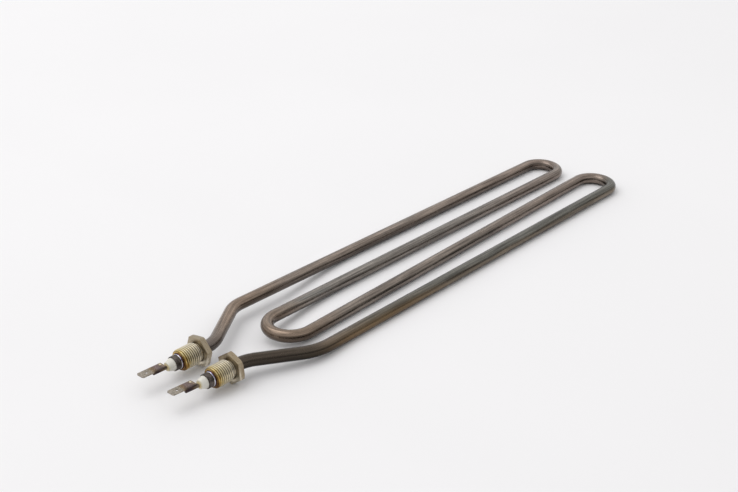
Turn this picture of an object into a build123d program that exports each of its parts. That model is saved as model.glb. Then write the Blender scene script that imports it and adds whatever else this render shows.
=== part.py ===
from build123d import *
import os
from math import cos, hypot, radians, sin, tan

# Tubular heating element, all lengths in millimetres.
# Frame: the origin lies midway between the two bushing axes, in the plane of the seats (the
# terminal-side faces of the hexagons). +X runs along the legs to the far bends, +Y to the left
# bushing, +Z up. The axis of the bent tube stays in the plane Z = 0.

# ---- sheath tube -------------------------------------------------------------------------
TUBE_OD = 8.5            # drawn sheath
TUBE_WALL = 0.8
TUBE_REACH = 5.0         # tube standing out in front of each bushing

# ---- legs: centre line of each, as bent, at two stations along X -------------------------
STATION_X = (90.0, 340.0)
LEG_Y = ((39.9, 37.3), (11.3, 9.7), (-19.0, -12.5), (-40.0, -39.6))
REACH = 396.3                # seats to the centre line's furthest point, on the right far bend
STAGGER = 3.7                # the left far bend stops this much short
NEAR_TIP_X = 47.6            # the same for the near bend

# ---- joggles from the bushings out to the outer legs -------------------------------------
BUSHING_PITCH = 29.6         # between the two bushing axes
JOG_INNER_X = (14.0, 12.5)   # corner on the bushing axis, left and right
JOG_OUTER_X = (53.2, 49.9)   # corner on the outer leg, left and right
JOG_RADIUS = 22.0            # centre-line radius of both corners

# ---- threaded bushings -------------------------------------------------------------------
THREAD_OD = 14.0             # M14 x 1.5
THREAD_PITCH = 1.5
STUD_LENGTH = 14.5           # seat to front end
STUD_CHAMFER = 0.9
RELIEF_WIDTH = 1.6           # plain groove next to the hexagon
HEX_AF = 18.5
HEX_THICK = 3.8
HEX_BREAK = 0.6              # 30 degree corner break on the tube side
HEX_TURN = (48.5, 23.5)      # where the two hexagons stopped, degrees from +Y
BRAZE_GAP = 0.05             # between bushing bore and tube

# ---- tube end: braze ring, collar, insulator, seal ---------------------------------------
BRAZE_LENGTH = 1.4
COLLAR_WALL = 0.5            # collar over the tube
BEAD_LENGTH = 4.6            # visible part of the insulator
BEAD_STEP = 0.1              # bead's base inside the tube's outline, on the radius
BEAD_TAPER = 1.15            # from base to nose, on the radius
BEAD_PLUG = 4.0              # part inside the tube
BEAD_PLAY = 0.1              # round the plug and round the pin
BEAD_ROUND = 0.5             # rounding of the nose
BEAD_LAND = 0.6              # straight part at the base
SEAL_RIM = 0.85              # seal's width round the pin
SEAL_THICK = 0.5
SEAL_EDGE = 0.3              # the seal's rounded rim

# ---- inside ------------------------------------------------------------------------------
COLD_END_X = 78.0            # where the cold pins stop and the winding starts
COIL_SHARE = 0.55            # winding's diameter as a share of the sheath's bore

# ---- terminal pins and tabs --------------------------------------------------------------
PIN_OD = 2.5
PIN_END_X = -34.4
PIN_FLAT = 0.15              # depth of the flat the tab is welded on
PIN_TILT = (2.0, 3.5)        # the pins lean up a little, degrees, left and right
TILT_RADIUS = 20.0
TAB_WIDTH = 6.3              # 6.3 x 0.8 push-on tab
TAB_THICK = 0.8
TAB_LENGTH = 18.4
TAB_HOLE = 1.9
TAB_HOLE_BACK = 5.3          # hole centre behind the tab's front edge
TAB_CORNER = 0.9
TAB_REAR_X = (-25.2, -25.9)
TAB_SHIFT = (1.2, 2.2)       # tab centre beside the pin axis, to the left

# ---- values that follow ------------------------------------------------------------------
TUBE_R = TUBE_OD / 2
BORE_R = TUBE_R - TUBE_WALL
COIL_R = BORE_R * COIL_SHARE
COLLAR_R = TUBE_R + COLLAR_WALL
BEAD_BASE_R = TUBE_R - BEAD_STEP
BEAD_NOSE_R = BEAD_BASE_R - BEAD_TAPER
PIN_R = PIN_OD / 2
SEAL_R = PIN_R + SEAL_RIM
STUD_FRONT_X = -STUD_LENGTH
TUBE_END_X = STUD_FRONT_X - TUBE_REACH
BEAD_NOSE_X = TUBE_END_X - BEAD_LENGTH
FILL_END_X = TUBE_END_X + BEAD_PLUG
THREAD_DEPTH = 0.6134 * THREAD_PITCH
SIDES = ("left", "right")
SIDE_Y = (BUSHING_PITCH / 2, -BUSHING_PITCH / 2)
OUTER_LEG = (0, len(LEG_Y) - 1)
FAR_TIP_X = (REACH - STAGGER, REACH)


def leg_line(leg):
    """Height at X = 0 and slope of a leg's centre line."""
    slope = (LEG_Y[leg][1] - LEG_Y[leg][0]) / (STATION_X[1] - STATION_X[0])
    return LEG_Y[leg][0] - slope * STATION_X[0], slope


def leg_point(leg, x):
    start, slope = leg_line(leg)
    return x, start + slope * x


def u_bend(upper, lower, tip_x, outward):
    """Tangent bend between two legs: its first point, tip and last point.

    The centre keeps one distance to both legs and lies that distance inside the tip."""
    a0, am = leg_line(upper)
    b0, bm = leg_line(lower)
    an = hypot(1, am)
    bn = hypot(1, bm)
    # (a0 + am*cx - cy) / an = r,  (cy - b0 - bm*cx) / bn = r,  cx = tip_x - outward * r
    r = (a0 - b0 + (am - bm) * tip_x) / (an + bn + outward * (am - bm))
    cx = tip_x - outward * r
    cy = a0 + am * cx - an * r
    first = (cx - am / an * r, cy + r / an)
    last = (cx + bm / bn * r, cy - r / bn)
    return first, (tip_x, cy), last


def rounded(points, radius):
    """Edges of an open polyline whose inner corners are rounded."""
    edges = []
    start = Vector(*points[0])
    for before, corner, after in zip(points, points[1:], points[2:]):
        c = Vector(*corner)
        a = (Vector(*before) - c).normalized()
        b = (Vector(*after) - c).normalized()
        half = radians(a.get_angle(b)) / 2
        back = radius / tan(half)
        middle = (a + b).normalized() * (radius / sin(half) - radius)
        edges.append(Line(start, c + a * back))
        edges.append(ThreePointArc(c + a * back, c + middle, c + b * back))
        start = c + b * back
    edges.append(Line(start, Vector(*points[-1])))
    return edges


def joggle(side, from_x):
    """Centre line from a point on the bushing axis out to the end of the cold pin."""
    leg = OUTER_LEG[side]
    y = SIDE_Y[side]
    corners = [(from_x, y), (JOG_INNER_X[side], y), leg_point(leg, JOG_OUTER_X[side])]
    return rounded(corners + [leg_point(leg, COLD_END_X)], JOG_RADIUS)


def heated_line():
    """Centre line of the winding, from one cold pin to the other."""
    far_a = u_bend(0, 1, FAR_TIP_X[0], 1)
    near = u_bend(1, 2, NEAR_TIP_X, -1)
    far_b = u_bend(2, 3, FAR_TIP_X[1], 1)
    return [
        Line(leg_point(0, COLD_END_X), far_a[0]),
        ThreePointArc(*far_a),
        Line(far_a[2], near[0]),
        ThreePointArc(*near),
        Line(near[2], far_b[0]),
        ThreePointArc(*far_b),
        Line(far_b[2], leg_point(3, COLD_END_X)),
    ]


def along(edges, outer, inner=0.0):
    """Round bar, or tube when an inner radius is given, swept along a chain of edges."""
    path = Wire([e if isinstance(e, Edge) else e.edge() for e in edges])
    start = path @ 0
    section = Circle(outer) - Circle(inner) if inner else Circle(outer)
    return sweep(Plane(origin=start, z_dir=path % 0) * section, path=path)


def turned(profile, y):
    """Body of revolution about a bushing axis, from points (x, radius)."""
    face = make_face(Polyline([(x, r) for x, r in profile], close=True))
    return Pos(0, y, 0) * revolve(face, Axis.X)


def ring(x0, x1, outer, inner, y):
    return turned([(x0, inner), (x1, inner), (x1, outer), (x0, outer)], y)


def bushing(side):
    """Bushing: threaded stud with a relief groove and a thin hexagon."""
    y = SIDE_Y[side]
    r = THREAD_OD / 2
    neck = r - THREAD_DEPTH - 0.1
    stud = turned(
        [
            (STUD_FRONT_X, 0),
            (STUD_FRONT_X, r - STUD_CHAMFER),
            (STUD_FRONT_X + STUD_CHAMFER, r),
            (-RELIEF_WIDTH - (r - neck), r),
            (-RELIEF_WIDTH, neck),
            (0, neck),
            (0, 0),
        ],
        y,
    )
    seat = Plane(origin=(0, y, 0), x_dir=(0, 1, 0), z_dir=(1, 0, 0))
    flats = RegularPolygon(HEX_AF / 2, 6, major_radius=False, rotation=HEX_TURN[side])
    head = extrude(seat * flats, HEX_THICK)
    corner = HEX_AF / 3**0.5
    slope = HEX_BREAK * 3**0.5
    dome = turned(
        [(0, 0), (0, corner), (HEX_THICK - HEX_BREAK, corner), (HEX_THICK, corner - slope), (HEX_THICK, 0)],
        y,
    )
    bore = Pos((HEX_THICK + STUD_FRONT_X) / 2, y, 0) * Rot(0, 90, 0)
    return stud + (head & dome) - bore * Cylinder(TUBE_R + BRAZE_GAP, 2 * STUD_LENGTH + HEX_THICK)


def insulator(side):
    """White bead: tapered nose outside, plug inside the tube, bored for the pin."""
    hole = PIN_R + BEAD_PLAY
    base = BEAD_BASE_R
    nose = BEAD_NOSE_R
    body = turned(
        [
            (BEAD_NOSE_X, hole),
            (BEAD_NOSE_X, nose - BEAD_ROUND),
            (BEAD_NOSE_X + BEAD_ROUND * 0.3, nose - BEAD_ROUND * 0.3),
            (BEAD_NOSE_X + BEAD_ROUND, nose),
            (TUBE_END_X - BEAD_LAND, base),
            (TUBE_END_X, base - BEAD_STEP),
            (TUBE_END_X, BORE_R - BEAD_PLAY),
            (FILL_END_X, BORE_R - BEAD_PLAY),
            (FILL_END_X, hole),
        ],
        SIDE_Y[side],
    )
    return body


def seal(side):
    """Sealing ring lying on the bead's face, domed towards the pin."""
    outer = SEAL_R
    face = BEAD_NOSE_X
    points = [(face, PIN_R), (face, outer), (face - SEAL_THICK * 0.6, outer - SEAL_EDGE), (face - SEAL_THICK, PIN_R)]
    return turned(points, SIDE_Y[side])


def tilt_arc(side):
    """Slight upward lean of the pin just in front of the seal, then its straight end."""
    y = SIDE_Y[side]
    lean = radians(PIN_TILT[side])
    start = Vector(BEAD_NOSE_X - SEAL_THICK, y, 0)
    mid = start + Vector(-sin(lean / 2), 0, 1 - cos(lean / 2)) * TILT_RADIUS
    end = start + Vector(-sin(lean), 0, 1 - cos(lean)) * TILT_RADIUS
    out = Vector(-cos(lean), 0, sin(lean))
    tip = end + out * ((end.X - PIN_END_X) / cos(lean))
    return start, mid, end, out, tip


def on_pin(side):
    """Location on the leaning pin at the tab's rear edge: X points out along the pin."""
    start, mid, end, out, tip = tilt_arc(side)
    rear = end + out * ((end.X - TAB_REAR_X[side]) / cos(radians(PIN_TILT[side])))
    return Plane(origin=rear, x_dir=out, z_dir=(out.Z, 0, -out.X)).location


def pin(side):
    """Cold pin from the winding to its end under the tab, with a flat for the weld."""
    start, mid, end, out, tip = tilt_arc(side)
    inner = joggle(side, start.X)
    edges = [Line(tip, end), ThreePointArc(end, mid, start)] + inner
    flat = Box(TAB_LENGTH, PIN_OD * 2, PIN_OD, align=(Align.MIN, Align.CENTER, Align.MIN))
    return along(edges, PIN_R) - on_pin(side) * Pos(0, 0, PIN_R - PIN_FLAT) * flat


def tab(side):
    """Flat push-on tab with cut corners, a bevelled lead-in edge and a detent hole."""
    half = TAB_WIDTH / 2
    outline = Polyline(
        (0, -half),
        (TAB_LENGTH - TAB_CORNER, -half),
        (TAB_LENGTH, -half + TAB_CORNER),
        (TAB_LENGTH, half - TAB_CORNER),
        (TAB_LENGTH - TAB_CORNER, half),
        (0, half),
        close=True,
    )
    blade = extrude(make_face(outline) - Pos(TAB_LENGTH - TAB_HOLE_BACK, 0) * Circle(TAB_HOLE / 2), TAB_THICK)
    lead = blade.edges().filter_by(Axis.Y).group_by(Axis.X)[-1]
    blade = chamfer(lead, TAB_THICK * 0.3)
    # local +Y of the tab's plane points to the right, so the shift is negative
    return on_pin(side) * Pos(0, -TAB_SHIFT[side], PIN_R - PIN_FLAT) * blade


def whole_line(from_x):
    """Centre line of the whole element between the two given ends."""
    left = joggle(0, from_x)
    right = joggle(1, from_x)
    return left + heated_line() + right


def fill():
    """Magnesia round the winding and the cold pins."""
    hot = along(heated_line(), BORE_R, COIL_R)
    cold = [along(joggle(s, FILL_END_X), BORE_R, PIN_R) for s in (0, 1)]
    return hot + cold[0] + cold[1]


nodes = {
    "sheath_tube": along(whole_line(TUBE_END_X), TUBE_R, BORE_R),
    "magnesia_fill": fill(),
    "resistance_coil": along(heated_line(), COIL_R),
}
for side, name in enumerate(SIDES):
    y = SIDE_Y[side]
    nodes[name + "_threaded_bushing"] = bushing(side)
    braze_x = STUD_FRONT_X - BRAZE_LENGTH
    nodes[name + "_braze_ring"] = ring(braze_x, STUD_FRONT_X, COLLAR_R, TUBE_R, y)
    nodes[name + "_end_collar"] = ring(TUBE_END_X, braze_x, COLLAR_R, TUBE_R, y)
    nodes[name + "_ceramic_insulator"] = insulator(side)
    nodes[name + "_end_seal"] = seal(side)
    nodes[name + "_terminal_pin"] = pin(side)
    nodes[name + "_tab_terminal"] = tab(side)

os.makedirs("parts", exist_ok=True)
for name, shape in nodes.items():
    solids = shape.solids()
    print(name, len(solids), "solid,", round(shape.volume, 1), "mm3, valid", shape.is_valid)
    solid = solids[0]
    solid.label = name
    export_step(solid, f"parts/{name}.step")
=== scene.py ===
# %% [markdown]
# # A tubular heating element, piece by piece
# A sheathed heater is a steel tube packed with magnesia round a resistance winding, then bent to
# shape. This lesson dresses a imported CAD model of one: the long bent sheath, two threaded bushings,
# and the white beads, seals, pins and push-on tabs at its ends. The CAD model is loaded as a fixed
# frame, and its box is kept, because nothing that is built later may stand outside it. Every length
# below is in millimetres and is multiplied by MM where it meets Blender, which works in metres. The
# lengths are those of the CAD source, so that a dressed piece lands on its solid. A few differ a
# little, and their cells say so.

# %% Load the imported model
from math import atan2, cos, hypot, pi, radians, sin, sqrt, tan

import bmesh
import bpy
from mathutils import Matrix, Vector, noise


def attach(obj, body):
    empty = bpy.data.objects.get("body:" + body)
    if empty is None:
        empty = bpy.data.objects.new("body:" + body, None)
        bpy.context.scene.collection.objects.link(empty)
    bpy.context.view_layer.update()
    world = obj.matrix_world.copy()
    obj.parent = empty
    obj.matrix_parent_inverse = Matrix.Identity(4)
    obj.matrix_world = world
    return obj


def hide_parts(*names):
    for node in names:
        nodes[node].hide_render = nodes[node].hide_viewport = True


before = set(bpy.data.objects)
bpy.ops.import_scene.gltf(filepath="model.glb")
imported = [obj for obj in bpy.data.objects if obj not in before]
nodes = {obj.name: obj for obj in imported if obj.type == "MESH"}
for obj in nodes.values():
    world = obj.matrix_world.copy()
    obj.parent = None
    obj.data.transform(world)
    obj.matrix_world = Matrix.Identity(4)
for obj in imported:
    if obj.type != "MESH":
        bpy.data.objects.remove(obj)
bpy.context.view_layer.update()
MM = 0.001
print("CAD solids:", len(nodes))

# %% [markdown]
# ## The camera first
# The camera stands in front of the terminals and to the right, about 26 degrees above the plane of
# the tube, with a lens a little longer than normal. It was placed by solving for the view in which
# the legs, bends and bushings of the model meet their outlines. Making it first lets every later
# piece be judged from the right place.

# %% Camera
EYE = Vector((-416.0, -502.6, 397.2)) * MM
FORWARD = Vector((0.66606, 0.59946, -0.44386)).normalized()
LENS_PX = 1238.0  # focal length in pixels, for an image IMAGE_WIDTH wide
IMAGE_WIDTH = 738.0
NUDGE_PX = 0.25  # how far the image's middle lies from the lens axis
SENSOR_WIDTH = 36.0
CLIP = (0.01, 50)  # metres
right = FORWARD.cross(Vector((0, 0, 1))).normalized()
up = right.cross(FORWARD)
camera = bpy.data.objects.new("camera", bpy.data.cameras.new("camera"))
camera.matrix_world = Matrix(
    [(right[i], up[i], -FORWARD[i], EYE[i]) for i in range(3)] + [(0, 0, 0, 1)]
)
camera.data.sensor_width = SENSOR_WIDTH
camera.data.lens = LENS_PX / IMAGE_WIDTH * SENSOR_WIDTH
camera.data.shift_x = -NUDGE_PX / IMAGE_WIDTH
camera.data.shift_y = NUDGE_PX / IMAGE_WIDTH
camera.data.clip_start, camera.data.clip_end = CLIP
bpy.context.scene.collection.objects.link(camera)
bpy.context.scene.camera = camera
print("lens, mm:", round(camera.data.lens, 2))

# %% [markdown]
# ## Colour and node helpers
# Finishes are written as sRGB hex values, which is how a swatch reads, and one function turns them
# to the linear light that Blender computes with. A second small function adds a node with its
# settings and links, so that each material below reads as a short recipe. A Mix node has sockets
# for numbers, vectors and colours under the same names, so its colour sockets go by their number.

# %% Helpers for colours and nodes
UNDER, OVER, MIXED = 6, 7, 2  # a Mix node's two colour inputs, and its colour output


def srgb(code):
    """Linear RGBA from an sRGB hex colour."""
    channels = [int(code[i : i + 2], 16) / 255 for i in (0, 2, 4)]
    return [c / 12.92 if c <= 0.04045 else ((c + 0.055) / 1.055) ** 2.4 for c in channels] + [1.0]


def add(tree, kind, inputs=None, **settings):
    """Adds a node, sets its properties, then fills or links the named inputs."""
    node = tree.nodes.new(kind)
    for key, value in settings.items():
        setattr(node, key, value)
    for key, value in (inputs or {}).items():
        if isinstance(value, bpy.types.NodeSocket):
            tree.links.new(value, node.inputs[key])
        else:
            node.inputs[key].default_value = value
    return node


def new_finish(name):
    """An empty node material and its tree."""
    material = bpy.data.materials.new(name)
    material.use_nodes = True
    material.node_tree.nodes.clear()
    return material, material.node_tree


def ramp(node, stops):
    """Sets a colour ramp's stops from (position, hex or grey value)."""
    elements = node.color_ramp.elements
    while len(elements) < len(stops):
        elements.new(0.5)
    for element, (place, value) in zip(elements, stops):
        element.position = place
        element.color = srgb(value) if isinstance(value, str) else (value, value, value, 1)


print("swatch 808080 in linear light:", round(srgb("808080")[0], 3))

# %% [markdown]
# ## Finish: heat-darkened stainless sheath
# The sheath is drawn austenitic stainless tube. Annealing and service leave a thin brown-grey oxide
# on it, so it is still a metal to the eye, but a dark and slightly uneven one. One flat tint would
# look painted, so the finish is built up over the next cells, from broad colour to fine marks. It
# uses two kinds of place. "place" is where a point lies on the finished element, for what heat did
# to it. "straight" is where it lay on the tube before bending, for what drawing and rolling did, so
# those marks go round the bends with the metal. Oxide clouds come first.

# %% Sheath: oxide clouds
sheath_finish, tree = new_finish("heat_darkened_stainless")
straight = add(tree, "ShaderNodeAttribute", attribute_name="straight").outputs["Vector"]
place = add(tree, "ShaderNodeTexCoord").outputs["Object"]
at = add(tree, "ShaderNodeSeparateXYZ", {0: place}).outputs

CLOUDS_PER_M = (22, 90, 90)  # clouds about 45 mm long and 11 mm round the tube
broad = add(tree, "ShaderNodeMapping", {"Vector": straight, "Scale": CLOUDS_PER_M}).outputs[0]
clouds = add(
    tree, "ShaderNodeTexNoise", {"Vector": broad, "Scale": 1.0, "Detail": 5.0, "Roughness": 0.62},
).outputs["Fac"]
oxide = add(tree, "ShaderNodeValToRGB", {"Fac": clouds})
ramp(oxide, [(0.30, "69625d"), (0.48, "7d746d"), (0.60, "897f77"), (0.74, "73726f")])
oxide = oxide.outputs["Color"]
print("oxide clouds, mm:", [round(1 / times / MM) for times in CLOUDS_PER_M])

# %% [markdown]
# ### A colour for each leg
# In the furnace each leg took a slightly different tint: dark grey, brown, steel grey, tan. The
# legs lie side by side, so a soft ramp across the width gives each its own, and the clouds make its
# borders wander.

# %% Sheath: leg tints
WIDTH_FROM, WIDTH_TO = -40 * MM, 50 * MM
drift = add(tree, "ShaderNodeMath", {0: clouds, 1: 10 * MM, 2: at["Y"]}, operation="MULTIPLY_ADD")
leg = add(
    tree, "ShaderNodeMapRange",
    {"Value": drift.outputs[0], "From Min": WIDTH_FROM, "From Max": WIDTH_TO},
)
leg_tint = add(tree, "ShaderNodeValToRGB", {"Fac": leg.outputs[0]})
ramp(
    leg_tint,
    [
        (0.06, "55524c"), (0.18, "605c56"), (0.32, "81766d"), (0.52, "79726b"), (0.62, "757471"),
        (0.84, "86796f"),
    ],
)
oxide = add(
    tree, "ShaderNodeMix", {"Factor": 0.55, UNDER: oxide, OVER: leg_tint.outputs["Color"]},
    data_type="RGBA",
).outputs[MIXED]
print("leg tints over a width of, mm:", round((WIDTH_TO - WIDTH_FROM) / MM))

# %% [markdown]
# ### The outer leg in two tones
# The outer right-hand leg took two tones: it is blue-grey on top and rusty brown down its outer
# side. A dot product with a slanting direction tells how far a point lies outward and down, and a
# narrow ramp over it makes the border run along the tube.

# %% Sheath: two-tone outer leg
OUTWARD = (0.0, -0.596, -0.803)
BROWN_FROM, BROWN_TO = 24.7 * MM, 26.7 * MM
outer = add(
    tree, "ShaderNodeMapRange", {"Value": at["Y"], "From Min": -28 * MM, "From Max": -34 * MM},
)
outer = add(tree, "ShaderNodeMath", {0: outer.outputs[0], 1: 0.75}, operation="MULTIPLY")
outward = add(tree, "ShaderNodeVectorMath", {0: place, 1: OUTWARD}, operation="DOT_PRODUCT")
outward = add(
    tree, "ShaderNodeMath", {0: clouds, 1: 3 * MM, 2: outward.outputs["Value"]},
    operation="MULTIPLY_ADD",
)
down = add(
    tree, "ShaderNodeMapRange",
    {"Value": outward.outputs[0], "From Min": BROWN_FROM, "From Max": BROWN_TO},
)
two_tone = add(
    tree, "ShaderNodeMix", {"Factor": down.outputs[0], UNDER: srgb("62625d"), OVER: srgb("6c6152")},
    data_type="RGBA",
)
oxide = add(
    tree, "ShaderNodeMix",
    {"Factor": outer.outputs[0], UNDER: oxide, OVER: two_tone.outputs[MIXED]}, data_type="RGBA",
).outputs[MIXED]
print("outer leg turns brown over, mm:", round((BROWN_TO - BROWN_FROM) / MM, 1))

# %% [markdown]
# ### Browner and greyer ends
# The end near the bushings and the far bends ran hotter and browned, while the left-hand joggle,
# which the winding doesn't reach, stayed grey. Each is one more tint with a soft edge, and a table
# holds them: the direction in which the tint comes in, where it starts and is full, and how strong
# it gets.

# %% Sheath: tints along the legs
inner_legs = add(
    tree, "ShaderNodeMapRange", {"Value": at["Y"], "From Min": -36 * MM, "From Max": -22 * MM},
)
left_half = add(tree, "ShaderNodeMath", {0: at["Y"], 1: 0.0}, operation="GREATER_THAN")
cloudy_x = add(
    tree, "ShaderNodeMath", {0: clouds, 1: 50 * MM, 2: at["X"]}, operation="MULTIPLY_ADD",
).outputs[0]
to_bushing = add(
    tree, "ShaderNodeVectorMath", {0: place, 1: (1.0, -0.6, 0.0)}, operation="DOT_PRODUCT",
).outputs["Value"]
end_tints = (
    # along, from none (mm), to full (mm), strength, only where, colour
    (cloudy_x, 125, 85, 0.65, None, "877464"),
    (cloudy_x, 280, 360, 0.5, inner_legs, "82736a"),
    (to_bushing, 20, -4, 0.65, left_half, "666465"),
)
for along, none_at, full_at, strength, only, tint in end_tints:
    share = add(
        tree, "ShaderNodeMapRange",
        {
            "Value": along, "From Min": none_at * MM, "From Max": full_at * MM, "To Min": 0.0,
            "To Max": strength,
        },
    )
    if only is not None:
        share = add(
            tree, "ShaderNodeMath", {0: share.outputs[0], 1: only.outputs[0]}, operation="MULTIPLY",
        )
    oxide = add(
        tree, "ShaderNodeMix", {"Factor": share.outputs[0], UNDER: oxide, OVER: srgb(tint)},
        data_type="RGBA",
    ).outputs[MIXED]
print("end tints:", len(end_tints))

# %% [markdown]
# ### Painted shade on the undersides
# The underside of the near bend and of the outer left-hand leg is painted darker. This is painted
# shade, standing for the shadowed paper that these metal surfaces reflect. It starts a little above
# the middle of the tube, so it also takes in the side that faces a viewer.

# %% Sheath: painted shade on the undersides
underside_shade = add(
    tree, "ShaderNodeMapRange",
    {"Value": at["Z"], "From Min": 1.8 * MM, "From Max": 0.1 * MM, "To Min": 0.0, "To Max": 0.62},
)
by_leg = add(
    tree, "ShaderNodeMapRange", {"Value": at["Y"], "From Min": 30 * MM, "From Max": 34 * MM},
)
by_bend = add(
    tree, "ShaderNodeMapRange", {"Value": at["X"], "From Min": 95 * MM, "From Max": 60 * MM},
)
by_either = add(
    tree, "ShaderNodeMath", {0: by_leg.outputs[0], 1: by_bend.outputs[0]}, operation="MAXIMUM",
)
underside_shade = add(
    tree, "ShaderNodeMath", {0: underside_shade.outputs[0], 1: by_either.outputs[0]}, operation="MULTIPLY",
)
# painted shade: the undersides are mixed towards near-black 2b2723
oxide = add(
    tree, "ShaderNodeMix", {"Factor": underside_shade.outputs[0], UNDER: oxide, OVER: srgb("2b2723")},
    data_type="RGBA",
).outputs[MIXED]
print("nodes so far:", len(tree.nodes))

# %% [markdown]
# ### Marks of rolling, drawing and handling
# Rolling the filled tube down to size leaves faint marks across it, about a millimetre apart. The
# drawing die leaves lines along it: a fraction of a millimetre wide in the real tube, drawn here
# about a millimetre wide so that they show. Scuffs of a few millimetres come from handling. All
# three are noise stretched by a Mapping node, and they darken and lighten the oxide as overlays.

# %% Sheath: marks
ROLLED_PER_M = (1100, 160, 160)
DRAWN_PER_M = (26, 900, 900)
SCUFFS_PER_M = (240, 420, 420)
across = add(tree, "ShaderNodeMapping", {"Vector": straight, "Scale": ROLLED_PER_M})
rolled = add(
    tree, "ShaderNodeTexNoise",
    {"Vector": across.outputs[0], "Scale": 1.0, "Detail": 3.0, "Roughness": 0.6},
).outputs["Fac"]
drawn = add(tree, "ShaderNodeMapping", {"Vector": straight, "Scale": DRAWN_PER_M})
lines = add(
    tree, "ShaderNodeTexNoise",
    {"Vector": drawn.outputs[0], "Scale": 1.0, "Detail": 3.0, "Roughness": 0.6},
).outputs["Fac"]
streak = add(
    tree, "ShaderNodeMapRange", {"Value": lines, "From Min": 0.32, "From Max": 0.68},
).outputs[0]
scuffed = add(tree, "ShaderNodeMapping", {"Vector": straight, "Scale": SCUFFS_PER_M})
scuffs = add(
    tree, "ShaderNodeTexNoise",
    {"Vector": scuffed.outputs[0], "Scale": 1.0, "Detail": 6.0, "Roughness": 0.7},
).outputs["Fac"]
worn = oxide
for mark, strength in ((rolled, 0.12), (scuffs, 0.22), (streak, 0.50)):
    worn = add(
        tree, "ShaderNodeMix", {"Factor": strength, UNDER: worn, OVER: mark}, data_type="RGBA",
        blend_type="OVERLAY",
    ).outputs[MIXED]
print("rolled marks, mm:", round(1 / ROLLED_PER_M[0] / MM, 1))
print("drawn lines, mm wide:", round(1 / DRAWN_PER_M[1] / MM, 1))
print("scuffs, mm:", round(1 / SCUFFS_PER_M[0] / MM, 1))

# %% [markdown]
# ### An olive stain, a sooty joggle and painted shade under it
# A drip that burnt on to the near part of the right-hand leg left an olive stain. It is the
# distance from one spot, squeezed so that it runs along the tube, with a ragged edge from the drawn
# lines, and it keeps mostly to the outer side. The right-hand joggle stayed darker than the rest.
# It is picked out by how near it is to the bushings, and by a slanting line that keeps out the near
# bend. Its lower half is painted darker still, as shade from the shadowed paper below it.

# %% Sheath: stain, soot and painted shade
STAIN_AT = (100 * MM, -43 * MM, -1.5 * MM)
STAIN_PER_M = (14.0, 110.0, 110.0)  # a distance of 1 is 71 mm along the tube or 9 mm across it
spot = add(tree, "ShaderNodeVectorMath", {0: place, 1: STAIN_AT}, operation="SUBTRACT")
spot = add(tree, "ShaderNodeVectorMath", {0: spot.outputs[0], 1: STAIN_PER_M}, operation="MULTIPLY")
away = add(tree, "ShaderNodeVectorMath", {0: spot.outputs[0]}, operation="LENGTH").outputs["Value"]
ragged = add(tree, "ShaderNodeMath", {0: lines, 1: -1.2, 2: away}, operation="MULTIPLY_ADD")
stain = add(
    tree, "ShaderNodeMapRange",
    {"Value": ragged.outputs[0], "From Min": -0.15, "From Max": 0.55, "To Min": 0.7, "To Max": 0.0},
)
outer_side = add(
    tree, "ShaderNodeMapRange",
    {
        "Value": outward.outputs[0], "From Min": 23.2 * MM, "From Max": 26.2 * MM, "To Min": 0.40,
        "To Max": 1.0,
    },
)
stain = add(
    tree, "ShaderNodeMath", {0: stain.outputs[0], 1: outer_side.outputs[0]}, operation="MULTIPLY",
)
worn = add(
    tree, "ShaderNodeMix", {"Factor": stain.outputs[0], UNDER: worn, OVER: srgb("6f5a3e")},
    data_type="RGBA",
).outputs[MIXED]

near = add(tree, "ShaderNodeMath", {0: clouds, 1: 30 * MM, 2: at["X"]}, operation="MULTIPLY_ADD")
near = add(
    tree, "ShaderNodeMapRange",
    {
        "Value": near.outputs[0], "From Min": 60 * MM, "From Max": 92 * MM, "To Min": 0.82,
        "To Max": 0.0,
    },
)
joggle_side = add(
    tree, "ShaderNodeVectorMath", {0: place, 1: (0.35, 1.0, 0.0)}, operation="DOT_PRODUCT",
)
joggle_side = add(
    tree, "ShaderNodeMath", {0: joggle_side.outputs["Value"], 1: -4 * MM}, operation="LESS_THAN",
)
sooty_and_shaded = add(
    tree, "ShaderNodeMath", {0: near.outputs[0], 1: joggle_side.outputs[0]}, operation="MULTIPLY",
)
# painted shade: the joggle's lower half goes from the soot tone 3d3832 down to near-black 24211d
height = add(
    tree, "ShaderNodeMapRange", {"Value": at["Z"], "From Min": -2 * MM, "From Max": 2 * MM},
)
soot = add(
    tree, "ShaderNodeMix",
    {"Factor": height.outputs[0], UNDER: srgb("24211d"), OVER: srgb("3d3832")}, data_type="RGBA",
)
worn = add(
    tree, "ShaderNodeMix", {"Factor": sooty_and_shaded.outputs[0], UNDER: worn, OVER: soot.outputs[MIXED]},
    data_type="RGBA",
).outputs[MIXED]
print("stain at, mm:", [round(v / MM, 1) for v in STAIN_AT])

# %% [markdown]
# ### The sheath's shader
# Oxide this thin leaves the metal a metal, so the colour goes into a metallic shader. The surface
# is smooth enough to mirror a light as a soft stripe. The marks are only hundredths of a millimetre
# deep, so they come as bump.

# %% Sheath: shader
rough = add(
    tree, "ShaderNodeMapRange",
    {"Value": scuffs, "From Min": 0.3, "From Max": 0.7, "To Min": 0.23, "To Max": 0.30},
)
bump = add(tree, "ShaderNodeBump", {"Height": rolled, "Strength": 0.07, "Distance": 0.03 * MM})
bump = add(
    tree, "ShaderNodeBump",
    {"Height": scuffs, "Normal": bump.outputs[0], "Strength": 0.05, "Distance": 0.04 * MM},
)
shader = add(
    tree, "ShaderNodeBsdfPrincipled",
    {"Base Color": worn, "Metallic": 1.0, "Roughness": rough.outputs[0], "Normal": bump.outputs[0]},
)
add(tree, "ShaderNodeOutputMaterial", {"Surface": shader.outputs[0]})
print(sheath_finish.name, "nodes:", len(tree.nodes))

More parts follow.
